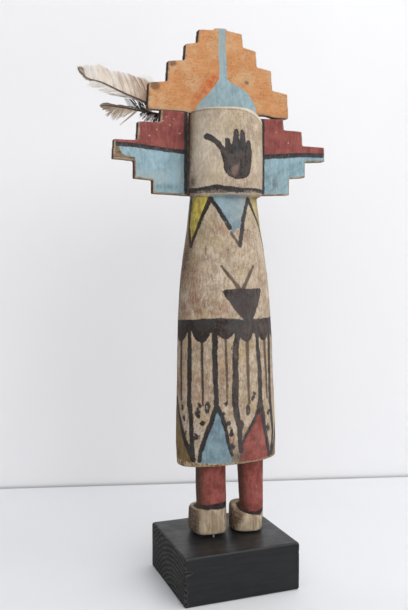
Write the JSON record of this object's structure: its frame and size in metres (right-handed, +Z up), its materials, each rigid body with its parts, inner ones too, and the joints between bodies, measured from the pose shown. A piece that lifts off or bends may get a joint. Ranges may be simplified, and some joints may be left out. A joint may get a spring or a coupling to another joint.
{
  "type": "kachina doll",
  "caption": "Carved and painted wooden kachina doll with a stepped board headdress, round case mask, long robe and feathers, pinned upright on a black wooden block.",
  "frame": {"origin": "centre of the display block's underside", "axes": "+Z up through the doll, -Y the way the doll faces, +X to the right of a viewer in front of it"},
  "size_m": [0.2095, 0.086, 0.4461],
  "materials": {
    "black_block": "planed wood stained black, satin, with open end grain on the sides",
    "pin_steel": "bright drawn steel wire",
    "painted_figure": "cottonwood with a worn chalky cream ground, black, blue, red and yellow paint",
    "orange_board": "thin board with matt orange and blue paint, worn at the edges",
    "wing_boards": "thin board with matt red-brown and blue paint divided by a black line",
    "feather": "weathered tan and grey-brown feather"
  },
  "bodies": {
    "root": {"display_block": "black_block", "mounting_pin": "pin_steel", "carved_figure": "painted_figure", "upper_board": "orange_board", "left_wing_board": "wing_boards", "right_wing_board": "wing_boards", "large_feather": "feather", "small_feather": "feather"}
  },
  "joints": []
}
